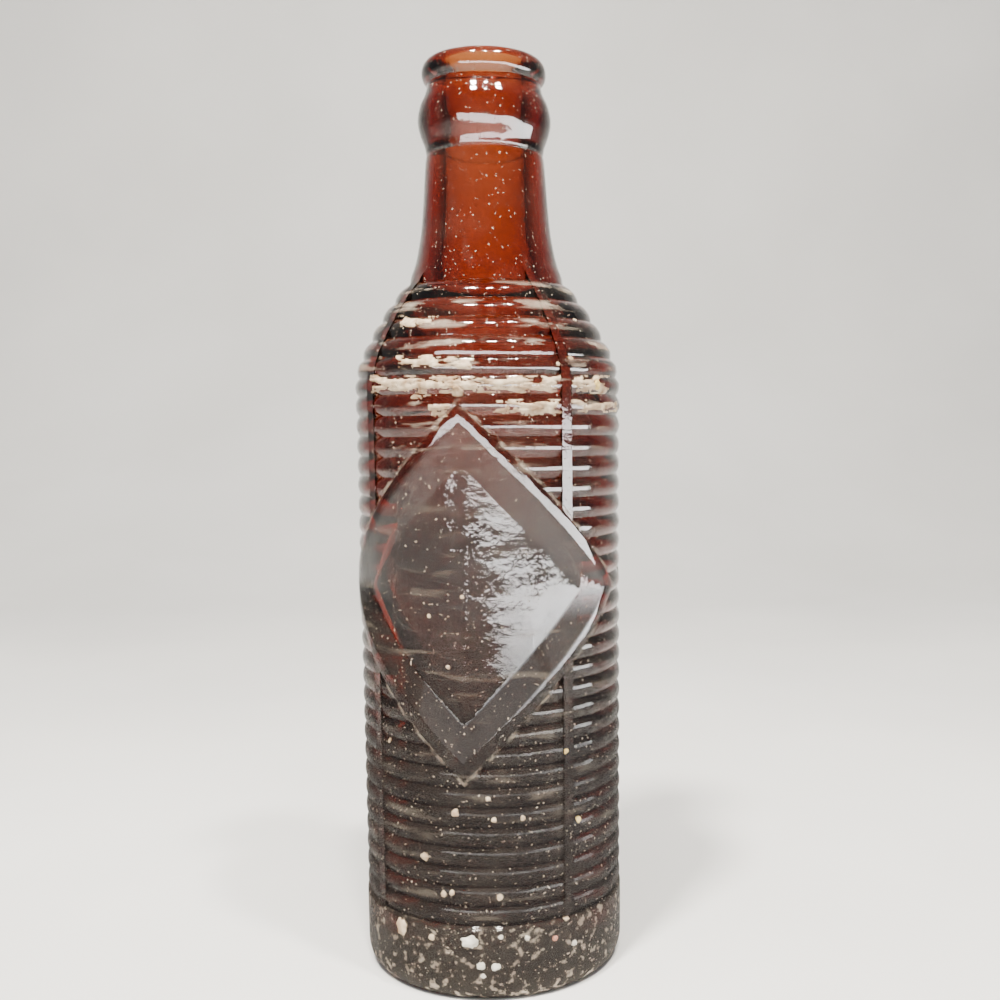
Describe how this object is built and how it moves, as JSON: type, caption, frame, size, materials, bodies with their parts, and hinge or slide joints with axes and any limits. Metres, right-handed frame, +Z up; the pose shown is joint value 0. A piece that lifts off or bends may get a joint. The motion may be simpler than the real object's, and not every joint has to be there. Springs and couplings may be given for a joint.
{
  "type": "soda bottle",
  "caption": "Small old ribbed glass bottle, amber and empty, with an open rounded lip for a crown cap, vertical strips and smooth diamond panels. First reading as prepared drink.",
  "frame": {"origin": "centre of the base on the surface the bottle stands on", "axes": "+Z up along the bottle's axis, -Y out of the diamond panel that the picture shows, +X to the right of it"},
  "size_m": [0.0582, 0.0586, 0.1975],
  "materials": {
    "amber_glass": "old amber glass, worn and dirty"
  },
  "bodies": {
    "root": {"bottle": "amber_glass"}
  },
  "joints": []
}
